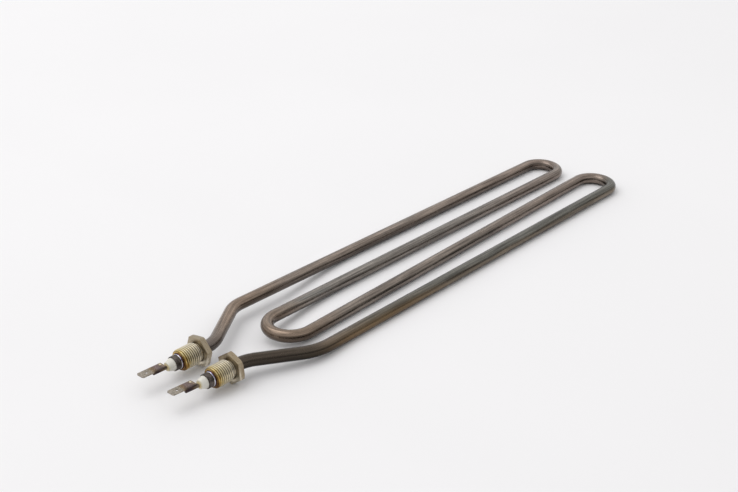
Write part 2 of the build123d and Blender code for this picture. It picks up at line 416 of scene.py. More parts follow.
# %% [markdown]
# ## The sheath's path
# The real tube is filled, rolled and then bent round formers, so its centre line is only straight
# runs and tangent arcs. The legs came out not quite parallel. A tangent U-bend between two such
# legs keeps one distance from both, and its centre lies that distance inside the tip, which gives
# two plain equations. The joggles are the usual two rounded corners.

# %% Legs and arcs
LEG_STATIONS = (90.0, 340.0)  # X where each leg's Y is given
LEG_Y = ((39.9, 37.3), (11.3, 9.7), (-19.0, -12.5), (-40.0, -39.6))
ARC_STEP = radians(2.5)


def leg_line(leg):
    """Y at X = 0 and slope of a leg's centre line."""
    slope = (LEG_Y[leg][1] - LEG_Y[leg][0]) / (LEG_STATIONS[1] - LEG_STATIONS[0])
    return LEG_Y[leg][0] - slope * LEG_STATIONS[0], slope


def leg_point(leg, x):
    """The point of a leg's centre line at X = x."""
    start, slope = leg_line(leg)
    return Vector((x, start + slope * x, 0))


def arc_points(centre, radius, begin, end):
    """Points along an arc in the plane of the tube."""
    count = max(2, round(abs(end - begin) / ARC_STEP))
    angles = [begin + (end - begin) * i / count for i in range(count + 1)]
    return [centre + Vector((cos(a), sin(a), 0)) * radius for a in angles]


def u_bend(upper, lower, tip_x, outward):
    """Arc points of a bend tangent to two legs, from the upper leg round to the lower."""
    a0, am = leg_line(upper)
    b0, bm = leg_line(lower)
    an, bn = hypot(1, am), hypot(1, bm)
    radius = (a0 - b0 + (am - bm) * tip_x) / (an + bn + outward * (am - bm))
    x = tip_x - outward * radius
    centre = Vector((x, a0 + am * x - an * radius, 0))
    begin = atan2(1, -am)
    end = atan2(-1, bm)
    if outward < 0:
        end += 2 * pi
    return arc_points(centre, radius, begin, end)


def corner(before, point, after, radius):
    """Arc points that round one corner of a route."""
    a = (before - point).normalized()
    b = (after - point).normalized()
    half = a.angle(b) / 2
    middle = (a + b).normalized()
    centre = point + middle * (radius / sin(half))
    start = point + a * (radius / tan(half)) - centre
    turn = pi - 2 * half
    if a.cross(b).z > 0:
        turn = -turn
    begin = atan2(start.y, start.x)
    return arc_points(centre, radius, begin, begin + turn)


print("leg slopes, mm per m:", [round(leg_line(leg)[1] / MM, 1) for leg in range(len(LEG_Y))])

# %% [markdown]
# ### The whole route
# The route starts at the left tube end, goes out over the joggle, round the left far bend, the near
# bend and the right far bend, and back in over the right joggle. The right-hand joggle opens out
# more gently than the left one: its outer radius is 34 mm here and 22 mm in the CAD source, its
# corner lies 0.7 mm further on, and the two lines stay within half a millimetre of each other.

# %% Centre line of the sheath
TUBE_END_X = -19.5
FAR_TIP_X = (392.6, 396.3)
NEAR_TIP_X = 47.6
SIDES = ("left", "right")
SIDE_Y = {"left": 14.8, "right": -14.8}
SIDE_LEG = {"left": 0, "right": 3}
JOG_INNER_X = {"left": 14.0, "right": 12.5}
JOG_OUTER_X = {"left": 53.2, "right": 50.6}
JOG_RADIUS = 22.0
JOG_OUTER_RADIUS = {"left": 22.0, "right": 34.0}
PAST_CORNER_X = 200  # any point of the leg beyond the joggle, to aim its last corner


def joggle(side):
    """Route from the tube's end out to its leg."""
    leg, y = SIDE_LEG[side], SIDE_Y[side]
    end = Vector((TUBE_END_X, y, 0))
    inner = Vector((JOG_INNER_X[side], y, 0))
    outer = leg_point(leg, JOG_OUTER_X[side])
    first = corner(end, inner, outer, JOG_RADIUS)
    second = corner(inner, outer, leg_point(leg, PAST_CORNER_X), JOG_OUTER_RADIUS[side])
    return [end] + first + second


route = joggle("left")
route += u_bend(0, 1, FAR_TIP_X[0], 1)
route += u_bend(1, 2, NEAR_TIP_X, -1)
route += u_bend(2, 3, FAR_TIP_X[1], 1)
route += reversed(joggle("right"))
length = sum((b - a).length for a, b in zip(route, route[1:]))
print("sheath length, mm:", round(length, 1), "points:", len(route))

# %% [markdown]
# ## Helpers for Geometry Nodes
# Two pieces below come from Geometry Nodes: the sheath, which follows a path, and the threads,
# which repeat. Two helpers serve both. One makes an empty tree with named inputs, and one puts it
# on a piece and sets those inputs by their identifiers, before the piece is first evaluated.

# %% Helpers for Geometry Nodes
def new_nodes(name, sizes):
    """An empty Geometry Nodes tree with a geometry input, named number inputs and an output."""
    group = bpy.data.node_groups.new(name, "GeometryNodeTree")
    group.interface.new_socket("Geometry", in_out="INPUT", socket_type="NodeSocketGeometry")
    for size in sizes:
        group.interface.new_socket(size, in_out="INPUT", socket_type="NodeSocketFloat")
    group.interface.new_socket("Geometry", in_out="OUTPUT", socket_type="NodeSocketGeometry")
    return group, add(group, "NodeGroupInput").outputs


def run_nodes(piece, group, values):
    """Puts the tree on a piece and sets its inputs by their identifiers."""
    modifier = piece.modifiers.new(group.name, "NODES")
    modifier.node_group = group
    for item in group.interface.items_tree:
        if item.in_out == "INPUT" and item.name in values:
            modifier[item.identifier] = values[item.name]


print("node groups so far:", len(bpy.data.node_groups))

# %% [markdown]
# ## Helpers for finished pieces
# A finished piece is a plain mesh with no live modifier, so one helper takes the evaluated result
# and removes its source. Another gives the piece its material and the body that it rides on, and
# hides the CAD node that it stands for.

# %% Helpers for finished pieces
def show(name, data):
    """Links a new object with this data to the scene."""
    piece = bpy.data.objects.new(name, data)
    bpy.context.scene.collection.objects.link(piece)
    return piece


def finished(name, source):
    """A plain mesh object from an object with live modifiers, which is then removed."""
    depsgraph = bpy.context.evaluated_depsgraph_get()
    mesh = bpy.data.meshes.new_from_object(source.evaluated_get(depsgraph))
    mesh.name = name
    piece = show(name, mesh)
    data = source.data
    bpy.data.objects.remove(source)
    (bpy.data.curves if isinstance(data, bpy.types.Curve) else bpy.data.meshes).remove(data)
    return piece


def dress(piece, material, slot, *replaced):
    """Gives a finished piece its material and body, and hides the CAD nodes it stands for; slot is
    not used.
    """
    if material is not None:
        piece.data.materials.clear()
        piece.data.materials.append(material)
    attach(piece, "root")
    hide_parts(*replaced)
    print(piece.name, "faces:", len(piece.data.polygons))


# %% [markdown]
# ## Sweeping the sheath
# A tube that follows a path is what Curve to Mesh is for. The tree halves each segment of the
# route, so that no face gets very long, sweeps a round section, and stores on every point how far
# along and where round the tube it lies. That stored position is the "straight" attribute of the
# finish.

# %% Sheath tree
sweep, given = new_nodes("sweep_sheath", ["Tube radius", "Sides"])
length_along = add(sweep, "GeometryNodeSplineParameter").outputs["Length"]
runs = add(sweep, "GeometryNodeSubdivideCurve", {"Curve": given["Geometry"], "Cuts": 1})
rail = add(sweep, "GeometryNodeCaptureAttribute", {"Geometry": runs.outputs[0]}, domain="POINT")
rail.capture_items.new("FLOAT", "Along")
sweep.links.new(length_along, rail.inputs["Along"])
section = add(sweep, "GeometryNodeCurvePrimitiveCircle", {"Radius": given["Tube radius"]})
sides = add(sweep, "FunctionNodeFloatToInt", {0: given["Sides"]})
sweep.links.new(sides.outputs[0], section.inputs["Resolution"])
where = add(sweep, "GeometryNodeInputPosition").outputs[0]
rim = add(
    sweep, "GeometryNodeCaptureAttribute", {"Geometry": section.outputs["Curve"]}, domain="POINT",
)
rim.capture_items.new("VECTOR", "Round")
sweep.links.new(where, rim.inputs["Round"])
tube = add(
    sweep, "GeometryNodeCurveToMesh",
    {"Curve": rail.outputs["Geometry"], "Profile Curve": rim.outputs["Geometry"]},
)
round_xyz = add(sweep, "ShaderNodeSeparateXYZ", {0: rim.outputs["Round"]})
unrolled = add(
    sweep, "ShaderNodeCombineXYZ",
    {0: rail.outputs["Along"], 1: round_xyz.outputs[0], 2: round_xyz.outputs[1]},
)
stored = add(
    sweep,
    "GeometryNodeStoreNamedAttribute",
    {"Geometry": tube.outputs[0], "Name": "straight", "Value": unrolled.outputs[0]},
    data_type="FLOAT_VECTOR",
    domain="POINT",
)
real = add(sweep, "GeometryNodeRealizeInstances", {"Geometry": stored.outputs[0]})
painted = add(
    sweep, "GeometryNodeSetMaterial", {"Geometry": real.outputs[0], "Material": sheath_finish},
)
add(sweep, "NodeGroupOutput", {"Geometry": painted.outputs[0]})
print(sweep.name, "nodes:", len(sweep.nodes))

# %% [markdown]
# ### The sheath itself
# The route becomes a curve, the tree sweeps it, and a Solidify modifier then gives the tube its
# real wall and closes its two ends as rings. The swept tube's radius is 0.015 mm less than that of
# the CAD tube, so that it stays inside the CAD box.

# %% Sheath
TUBE_R = 4.25
TUBE_WALL = 0.8
INSET = 0.015
TUBE_SIDES = 64.0

centre_line = bpy.data.curves.new("sheath_rail", "CURVE")
centre_line.dimensions = "3D"
spline = centre_line.splines.new("POLY")
spline.points.add(len(route) - 1)
for spline_point, point in zip(spline.points, route):
    spline_point.co = (*(point * MM), 1)
sheath_rail = show("sheath_rail", centre_line)
run_nodes(sheath_rail, sweep, {"Tube radius": (TUBE_R - INSET) * MM, "Sides": TUBE_SIDES})
sheath = finished("sheath", sheath_rail)
wall = sheath.modifiers.new("wall", "SOLIDIFY")
wall.thickness = TUBE_WALL * MM
wall.offset = -1
sheath = finished("sheath_dressed", sheath)
sheath.data.shade_smooth()
dress(sheath, None, "sheath", "sheath_tube")

# %% [markdown]
# ## Turned pieces
# The bushing, the braze ring, the collar, the bead and the seal are all turned or pressed round an
# axis. Spin would make the plain ones, but a hexagon and an uneven braze edge change with the
# angle. So one function builds such a skin as a grid: one column for each step round the axis, and
# in each column the points of a closed section, which may differ from one angle to the next.

# %% Turning on an axis
def skin(name, grid):
    """A smooth piece from a bmesh, with its faces turned outwards first."""
    bmesh.ops.recalc_face_normals(grid, faces=grid.faces)
    mesh = bpy.data.meshes.new(name)
    grid.to_mesh(mesh)
    grid.free()
    mesh.shade_smooth()
    return show(name, mesh)


def turned(name, section, side, columns=96):
    """Closed skin round a bushing axis; section(angle) gives a loop of (x, radius) points."""
    y = SIDE_Y[side]
    grid = bmesh.new()
    strips = []
    for column in range(columns):
        angle = 2 * pi * column / columns
        loop = [Vector((x, y + r * cos(angle), r * sin(angle))) for x, r in section(angle)]
        strips.append([grid.verts.new(point * MM) for point in loop])
    for strip, following in zip(strips, strips[1:] + strips[:1]):
        for i in range(len(strip)):
            j = (i + 1) % len(strip)
            grid.faces.new((strip[i], strip[j], following[j], following[i]))
    return skin(name, grid)


def stepped(start, end, step):
    """Even stations from start to end."""
    count = max(1, round(abs(end - start) / step))
    return [start + (end - start) * i / count for i in range(count + 1)]


print("bushing axes, mm:", SIDE_Y)

# %% [markdown]
# ## Finish: plated bushing with a heat-tinted front
# The bushing is turned from hexagon bar and nickel plated, which is a slightly warm silver. Brazing
# the tube into its front end lets colours run through the plating: brown at the front, where it was
# hottest, then straw, then plain nickel, and a duller grey on the hexagon. The tint is set by
# distance along the axis, and smoky noise in patches of about 3 mm breaks its border up.

# %% Bushing: heat tint
SMOKE_PER_M = 300.0
bushing_finish, tree = new_finish("nickel_plated_steel_heat_tinted")
place = add(tree, "ShaderNodeTexCoord").outputs["Object"]
at = add(tree, "ShaderNodeSeparateXYZ", {0: place}).outputs
smoke = add(
    tree, "ShaderNodeTexNoise",
    {"Vector": place, "Scale": SMOKE_PER_M, "Detail": 4.0, "Roughness": 0.65},
).outputs["Fac"]
reach = add(tree, "ShaderNodeMath", {0: smoke, 1: 6 * MM, 2: at["X"]}, operation="MULTIPLY_ADD")
reach = add(
    tree, "ShaderNodeMath", {0: at["Z"], 1: 0.22, 2: reach.outputs[0]}, operation="MULTIPLY_ADD",
)
heat = add(
    tree, "ShaderNodeMapRange",
    {"Value": reach.outputs[0], "From Min": -12 * MM, "From Max": 5.8 * MM},
)
tint = add(tree, "ShaderNodeValToRGB", {"Fac": heat.outputs[0]})
ramp(
    tint,
    [
        (0.0, "7d5a33"), (0.05, "a27c42"), (0.10, "c4a35e"), (0.16, "d9c690"), (0.27, "dfd4b4"),
        (0.50, "e0d7c0"), (0.80, "e2dac8"), (0.90, "a89c86"), (1.0, "a0937d"),
    ],
)
print("smoke patches, mm:", round(1 / SMOKE_PER_M / MM, 1))

# %% [markdown]
# ### Painted shade in the thread roots
# The roots of the thread and the low flanks are painted dark brown. This is painted shade for these
# recesses. It follows the distance from the bushing's own axis, and both axes lie equally far from
# the middle.

# %% Bushing: painted root shade and scratches
aside = add(tree, "ShaderNodeMath", {0: at["Y"]}, operation="ABSOLUTE")
aside = add(
    tree, "ShaderNodeMath", {0: aside.outputs[0], 1: SIDE_Y["left"] * MM}, operation="SUBTRACT",
)
spoke = add(tree, "ShaderNodeCombineXYZ", {0: aside.outputs[0], 1: at["Z"]})
depth = add(tree, "ShaderNodeVectorMath", {0: spoke.outputs[0]}, operation="LENGTH")
depth = add(
    tree, "ShaderNodeMapRange",
    {"Value": depth.outputs["Value"], "From Min": 5.8 * MM, "From Max": 7 * MM},
)
root_shade = add(tree, "ShaderNodeValToRGB", {"Fac": depth.outputs[0]})
ramp(root_shade, [(0.14, 0.0), (0.20, 0.76), (0.42, 0.58), (0.75, 0.0)])

# 900 and 300 to the metre: turning marks 1.1 mm along the axis and 3.3 mm round it, coarser than
# the tenths of a millimetre of a real feed mark, so that they show
scratch = add(tree, "ShaderNodeMapping", {"Vector": place, "Scale": (900, 300, 300)})
marks = add(
    tree, "ShaderNodeTexNoise",
    {"Vector": scratch.outputs[0], "Scale": 1.0, "Detail": 4.0, "Roughness": 0.65},
).outputs["Fac"]
colour = add(
    tree, "ShaderNodeMix", {"Factor": 0.3, UNDER: tint.outputs["Color"], OVER: marks},
    data_type="RGBA", blend_type="OVERLAY",
)
# painted shade: the thread roots and low flanks are mixed towards dark brown 42351f
colour = add(
    tree, "ShaderNodeMix",
    {"Factor": root_shade.outputs["Color"], UNDER: colour.outputs[MIXED], OVER: srgb("42351f")},
    data_type="RGBA",
).outputs[MIXED]
print("nodes so far:", len(tree.nodes))

# %% [markdown]
# ### Spanner dirt on the hexagons
# The hexagons were handled with dirty spanners, the right-hand one more often. The dirt starts
# where the hexagon does and takes its patches from the same smoke. Nickel stays a metal under it,
# and is duller where it is marked.

# %% Bushing: spanner dirt and shader
on_hexagon = add(
    tree, "ShaderNodeMapRange", {"Value": at["X"], "From Min": -0.2 * MM, "From Max": 0.1 * MM},
)
more = add(
    tree, "ShaderNodeMapRange",
    {"Value": at["Y"], "From Min": -2 * MM, "From Max": 2 * MM, "To Min": 0.62, "To Max": 0.12},
)
handled = add(
    tree, "ShaderNodeMath", {0: on_hexagon.outputs[0], 1: more.outputs[0]}, operation="MULTIPLY",
)
handled = add(tree, "ShaderNodeMath", {0: handled.outputs[0], 1: smoke}, operation="MULTIPLY")
colour = add(
    tree, "ShaderNodeMix", {"Factor": handled.outputs[0], UNDER: colour, OVER: srgb("79664d")},
    data_type="RGBA",
)
rough = add(
    tree, "ShaderNodeMapRange",
    {"Value": marks, "From Min": 0.3, "From Max": 0.7, "To Min": 0.24, "To Max": 0.42},
)
bump = add(tree, "ShaderNodeBump", {"Height": marks, "Strength": 0.15, "Distance": 0.04 * MM})
shader = add(
    tree, "ShaderNodeBsdfPrincipled",
    {
        "Base Color": colour.outputs[MIXED], "Metallic": 1.0, "Roughness": rough.outputs[0],
        "Normal": bump.outputs[0],
    },
)
add(tree, "ShaderNodeOutputMaterial", {"Surface": shader.outputs[0]})
print(bushing_finish.name, "nodes:", len(tree.nodes))

# %% [markdown]
# ## Cutting the thread with Geometry Nodes
# On the lathe, the blank is turned first and the thread is cut into it. The tree does the same: it
# takes the turned blank and, for each point, works out the height of an M14 x 1.5 thread there. The
# phase is the axial position in pitches minus the turn in full turns, which is what makes a
# right-hand helix. A point keeps its own radius or the thread's, whichever is less, so the chamfer
# and the relief groove stay as they were turned.

# %% Thread tree
ROOT_ENDS, CREST_STARTS = 0.11, 0.43  # in pitches from the middle of a root
cutter, given = new_nodes("cut_thread", ["Pitch", "Depth", "Crest radius", "Axis Y"])
where = add(cutter, "GeometryNodeInputPosition").outputs[0]
at = add(cutter, "ShaderNodeSeparateXYZ", {0: where}).outputs
off_y = add(cutter, "ShaderNodeMath", {0: at["Y"], 1: given["Axis Y"]}, operation="SUBTRACT")
spoke = add(cutter, "ShaderNodeCombineXYZ", {1: off_y.outputs[0], 2: at["Z"]})
radius = add(cutter, "ShaderNodeVectorMath", {0: spoke.outputs[0]}, operation="LENGTH")
angle = add(cutter, "ShaderNodeMath", {0: at["Z"], 1: off_y.outputs[0]}, operation="ARCTAN2")
turns = add(cutter, "ShaderNodeMath", {0: angle.outputs[0], 1: 2 * pi}, operation="DIVIDE")
pitches = add(cutter, "ShaderNodeMath", {0: at["X"], 1: given["Pitch"]}, operation="DIVIDE")
phase = add(
    cutter, "ShaderNodeMath", {0: pitches.outputs[0], 1: turns.outputs[0]}, operation="SUBTRACT",
)
ridge = add(cutter, "ShaderNodeMath", {0: phase.outputs[0], 1: 0.5}, operation="PINGPONG")
height = add(
    cutter, "ShaderNodeMapRange",
    {
        "Value": ridge.outputs[0], "From Min": ROOT_ENDS, "From Max": CREST_STARTS, "To Min": -1.0,
        "To Max": 0.0,
    },
)
cut = add(
    cutter, "ShaderNodeMath", {0: height.outputs[0], 1: given["Depth"], 2: given["Crest radius"]},
    operation="MULTIPLY_ADD",
)
kept = add(
    cutter, "ShaderNodeMath", {0: cut.outputs[0], 1: radius.outputs["Value"]}, operation="MINIMUM",
)
share = add(
    cutter, "ShaderNodeMath", {0: kept.outputs[0], 1: radius.outputs["Value"]}, operation="DIVIDE",
)
pulled = add(
    cutter, "ShaderNodeVectorMath", {0: spoke.outputs[0], "Scale": share.outputs[0]},
    operation="SCALE",
)
anchor = add(cutter, "ShaderNodeCombineXYZ", {0: at["X"], 1: given["Axis Y"]})
moved = add(
    cutter, "ShaderNodeVectorMath", {0: pulled.outputs[0], 1: anchor.outputs[0]}, operation="ADD",
)
shaped = add(
    cutter, "GeometryNodeSetPosition",
    {"Geometry": given["Geometry"], "Position": moved.outputs[0]},
)
real = add(cutter, "GeometryNodeRealizeInstances", {"Geometry": shaped.outputs[0]})
painted = add(
    cutter, "GeometryNodeSetMaterial", {"Geometry": real.outputs[0], "Material": bushing_finish},
)
add(cutter, "NodeGroupOutput", {"Geometry": painted.outputs[0]})
print(cutter.name, "nodes:", len(cutter.nodes))

# %% [markdown]
# ### The studs
# The blank is one closed section: bore, front face, chamfer, the length of the thread, the slope
# down to the relief groove, and a neck that reaches into the hexagon. The tree can only move points
# that are there, so the thread's length is turned in steps of less than a tenth of a millimetre.

# %% Studs
THREAD_R = 7.0
THREAD_PITCH = 1.5
THREAD_DEPTH = 0.6134 * THREAD_PITCH
THREAD_RUNOUT = 0.5
STUD_FRONT_X = -14.5
STUD_CHAMFER = 0.9
RELIEF_WIDTH = 1.6
NECK_R = THREAD_R - THREAD_DEPTH - 0.1
NECK_END_X = 0.5
BORE_R = TUBE_R + 0.05
TURNING_STEP = 0.085
STUD_COLUMNS = 120


def stud_section(angle):
    """Loop round the stud's wall: bore, front face, chamfer, thread length, relief, neck."""
    front = STUD_FRONT_X
    chamfered = THREAD_R - STUD_CHAMFER
    relief = RELIEF_WIDTH - THREAD_RUNOUT
    shoulder = -relief - (THREAD_R - NECK_R)
    loop = [(front, BORE_R + 0.15), (front, chamfered - 0.1), (front + 0.05, chamfered - 0.02)]
    for x in stepped(front + 0.1, shoulder, TURNING_STEP):
        loop.append((x, min(THREAD_R, chamfered + (x - front))))
    loop += [(x, THREAD_R - (x - shoulder)) for x in stepped(shoulder, -relief, 0.2)[1:]]
    loop += [(-relief + 0.2, NECK_R - 0.05), (-0.3, NECK_R - 0.05)]
    loop += [(0.0, NECK_R + 0.15), (NECK_END_X, NECK_R + 0.15), (NECK_END_X, BORE_R)]
    return loop + [(front + 0.15, BORE_R)]


for side in SIDES:
    blank = turned("stud_blank_" + side, stud_section, side, columns=STUD_COLUMNS)
    run_nodes(
        blank, cutter,
        {
            "Pitch": THREAD_PITCH * MM, "Depth": THREAD_DEPTH * MM, "Crest radius": THREAD_R * MM,
            "Axis Y": SIDE_Y[side] * MM,
        },
    )
    stud = finished(side + "_stud", blank)
    stud.data.shade_smooth()
    dress(stud, None, "bushing", side + "_threaded_bushing")

# %% [markdown]
# ## The hexagon
# The hexagon is what is left of the bar that the bushing was turned from: thin, with its corners
# broken at 30 degrees on the tube side. The break is a cone, so where it meets a flat the edge runs
# as a shallow curve. The section works out that meeting point for its own direction. The corners
# are broken by 0.3 and 0.5 mm, which is crisper than the 0.6 mm of the CAD source.

# %% Hexagons
HEX_AF = 18.5
HEX_THICK = 3.8
HEX_TURN = {"left": 48.5, "right": 23.5}
CORNER_R = HEX_AF / sqrt(3)
CORNER_BREAK = {"left": 0.3, "right": 0.5}
EDGE = 0.16
FRONT_RING_R, BACK_RING_R = 8.6, 7.0  # one more ring on each face, for evener faces
NECK_SEAT_X = 0.6
HEX_COLUMNS = 360


def hexagon(side):
    """The hexagon head of one bushing."""
    turn = radians(HEX_TURN[side])
    broken = CORNER_BREAK[side]

    def section(angle):
        inside = (angle - turn) % (pi / 3) - pi / 6
        flat = HEX_AF / 2 / cos(inside)
        meet = min(HEX_THICK, HEX_THICK - broken + (CORNER_R - flat) / sqrt(3))
        face = min(flat - EDGE, CORNER_R - broken * sqrt(3))
        return [
            (0.0, NECK_R),
            (0.0, FRONT_RING_R),
            (0.0, flat - EDGE),
            (EDGE * 0.3, flat - EDGE * 0.3),
            (EDGE, flat),
            (meet - EDGE, flat),
            (meet - EDGE * 0.35, flat - EDGE * 0.25),
            (HEX_THICK, face),
            (HEX_THICK, BACK_RING_R),
            (HEX_THICK, BORE_R + 0.2),
            (HEX_THICK - 0.2, BORE_R),
            (NECK_SEAT_X, BORE_R),
            (NECK_SEAT_X, NECK_R),
        ]

    return turned(side + "_hexagon", section, side, columns=HEX_COLUMNS)


for side in SIDES:
    dress(hexagon(side), bushing_finish, "bushing", side + "_threaded_bushing")

# %% [markdown]
# ## Finish: silver braze
# Silver braze wets both the tube and the bushing's front face and freezes as a small bright fillet.
# It is a smooth metal that flowed, so its noise is soft, about 2.4 mm across. Towards the bushing
# it kept the torch's colours, blue, purple and brown, which follow the axis.

# %% Braze material
FLOW_PER_M = 420.0
braze_finish, tree = new_finish("silver_braze_alloy")
place = add(tree, "ShaderNodeTexCoord").outputs["Object"]
at = add(tree, "ShaderNodeSeparateXYZ", {0: place}).outputs
flow = add(
    tree, "ShaderNodeTexNoise",
    {"Vector": place, "Scale": FLOW_PER_M, "Detail": 3.0, "Roughness": 0.5},
).outputs["Fac"]
creep = add(tree, "ShaderNodeMath", {0: flow, 1: 1 * MM, 2: at["X"]}, operation="MULTIPLY_ADD")
heat = add(
    tree, "ShaderNodeMapRange",
    {"Value": creep.outputs[0], "From Min": -15.6 * MM, "From Max": -13.8 * MM},
)
tone = add(tree, "ShaderNodeValToRGB", {"Fac": heat.outputs[0]})
ramp(
    tone,
    [
        (0.0, "5a4d4c"), (0.12, "d5d2cf"), (0.27, "f4f2ee"), (0.37, "8f93b8"), (0.47, "4d4163"),
        (0.64, "4a3328"), (1.0, "7a5a34"),
    ],
)
rough = add(
    tree, "ShaderNodeMapRange",
    {"Value": flow, "From Min": 0.3, "From Max": 0.7, "To Min": 0.18, "To Max": 0.34},
)
bump = add(tree, "ShaderNodeBump", {"Height": flow, "Strength": 0.4, "Distance": 0.1 * MM})
shader = add(
    tree, "ShaderNodeBsdfPrincipled",
    {
        "Base Color": tone.outputs["Color"], "Metallic": 1.0, "Roughness": rough.outputs[0],
        "Normal": bump.outputs[0],
    },
)
add(tree, "ShaderNodeOutputMaterial", {"Surface": shader.outputs[0]})
print(braze_finish.name, "nodes:", len(tree.nodes))

# %% [markdown]
# ## Finish: torch-blackened collar
# The collar is plain steel that the torch left dark grey-brown, with soot in patches of about 3 mm.
# Scale is rougher than clean metal, so its roughness is well above the braze's.

# %% Collar material
SOOT_PER_M = 320.0
collar_finish, tree = new_finish("torch_blackened_steel")
place = add(tree, "ShaderNodeTexCoord").outputs["Object"]
soot = add(
    tree, "ShaderNodeTexNoise",
    {"Vector": place, "Scale": SOOT_PER_M, "Detail": 5.0, "Roughness": 0.65},
).outputs["Fac"]
tone = add(tree, "ShaderNodeValToRGB", {"Fac": soot})
ramp(tone, [(0.30, "35312e"), (0.48, "534d49"), (0.62, "6e6662"), (0.80, "827361")])
rough = add(
    tree, "ShaderNodeMapRange",
    {"Value": soot, "From Min": 0.3, "From Max": 0.7, "To Min": 0.34, "To Max": 0.6},
)
bump = add(tree, "ShaderNodeBump", {"Height": soot, "Strength": 0.35, "Distance": 0.08 * MM})
shader = add(
    tree, "ShaderNodeBsdfPrincipled",
    {
        "Base Color": tone.outputs["Color"], "Metallic": 1.0, "Roughness": rough.outputs[0],
        "Normal": bump.outputs[0],
    },
)
add(tree, "ShaderNodeOutputMaterial", {"Surface": shader.outputs[0]})
print(collar_finish.name, "nodes:", len(tree.nodes))

# %% [markdown]
# ## Braze rings and end collars
# Braze never stops on an exact line, so the ring's edge wanders with slow noise, a different
# stretch of it on each side. In front of it the end of the tube was swaged over a short collar,
# which is a plain ring with a rounded front edge.

# %% Braze rings and collars
BRAZE_LENGTH = 1.4
BRAZE_FRONT_X = STUD_FRONT_X - BRAZE_LENGTH
BRAZE_RISE_R = 5.35
BRAZE_SEED = {"left": 3.1, "right": 8.4}
COLLAR_R = TUBE_R + 0.5
SWAGE = 0.25


def wander(angle, seed, size):
    """Smooth uneven amount round an axis, from -size to size."""
    return noise.noise(Vector((1.7 * cos(angle), 1.7 * sin(angle), seed))) * size


def braze(side):
    """The fillet of braze in front of one bushing."""
    seed = BRAZE_SEED[side]

    def section(angle):
        front = BRAZE_FRONT_X + 0.12 + wander(angle, seed, 0.25)
        rise = BRAZE_RISE_R + wander(angle, seed + 5, 0.5)
        return [
            (STUD_FRONT_X, TUBE_R),
            (STUD_FRONT_X, rise),
            (STUD_FRONT_X - 0.22, rise - 0.22),
            (STUD_FRONT_X - 0.6, COLLAR_R + 0.23),
            (front + 0.3, COLLAR_R + 0.11),
            (front, COLLAR_R),
            (front, TUBE_R),
        ]

    return turned(side + "_braze", section, side, columns=120)


def collar_section(angle):
    """Loop round the collar's wall."""
    return [
        (TUBE_END_X, TUBE_R),
        (TUBE_END_X, COLLAR_R - SWAGE),
        (TUBE_END_X + SWAGE * 0.3, COLLAR_R - SWAGE * 0.3),
        (TUBE_END_X + SWAGE, COLLAR_R),
        (BRAZE_FRONT_X - 0.9, COLLAR_R - 0.02),
        (BRAZE_FRONT_X, COLLAR_R),
        (BRAZE_FRONT_X, TUBE_R),
    ]


for side in SIDES:
    dress(braze(side), braze_finish, "braze", side + "_braze_ring")
    collar = turned(side + "_collar", collar_section, side)
    dress(collar, collar_finish, "collar", side + "_end_collar")

# %% [markdown]
# ## Finish: fired steatite bead
# Each end is closed by a pressed and fired steatite bead: an off-white, matt ceramic with no metal
# in it, so it is the first finish here that isn't metallic. Its body colour drifts over about 6 mm,
# and its nose took a yellow stain from the sealant. The grain of fired steatite is too fine to
# show, so it is drawn at about 1.1 mm.

# %% Bead material
BODY_PER_M, GRAIN_PER_M = 160.0, 900.0
bead_finish, tree = new_finish("fired_steatite_ceramic")
place = add(tree, "ShaderNodeTexCoord").outputs["Object"]
at = add(tree, "ShaderNodeSeparateXYZ", {0: place}).outputs
body = add(
    tree, "ShaderNodeTexNoise", {"Vector": place, "Scale": BODY_PER_M, "Detail": 2.0},
).outputs["Fac"]
grain = add(
    tree, "ShaderNodeTexNoise",
    {"Vector": place, "Scale": GRAIN_PER_M, "Detail": 4.0, "Roughness": 0.6},
).outputs["Fac"]
tone = add(tree, "ShaderNodeValToRGB", {"Fac": body})
ramp(tone, [(0.34, "d3d0c6"), (0.62, "e2dfd6")])
stain = add(tree, "ShaderNodeMath", {0: body, 1: 2.4 * MM, 2: at["X"]}, operation="MULTIPLY_ADD")
stain = add(
    tree, "ShaderNodeMapRange",
    {
        "Value": stain.outputs[0], "From Min": -23.2 * MM, "From Max": -22.2 * MM, "To Min": 0.7,
        "To Max": 0.0,
    },
)
tone = add(
    tree, "ShaderNodeMix",
    {"Factor": stain.outputs[0], UNDER: tone.outputs["Color"], OVER: srgb("c2b37f")},
    data_type="RGBA",
)
rough = add(
    tree, "ShaderNodeMapRange",
    {"Value": grain, "From Min": 0.3, "From Max": 0.7, "To Min": 0.42, "To Max": 0.6},
)
bump = add(tree, "ShaderNodeBump", {"Height": grain, "Strength": 0.25, "Distance": 0.05 * MM})
shader = add(
    tree, "ShaderNodeBsdfPrincipled",
    {"Base Color": tone.outputs[MIXED], "Roughness": rough.outputs[0], "Normal": bump.outputs[0]},
)
add(tree, "ShaderNodeOutputMaterial", {"Surface": shader.outputs[0]})
print(bead_finish.name, "nodes:", len(tree.nodes))

# %% [markdown]
# ## Finish: silicone seal
# A dab of cream silicone seals the hole round the pin against damp, because magnesia drinks water
# from the air. It cured with soft swirls of about 2.6 mm and a skin a little glossier than the
# bead.

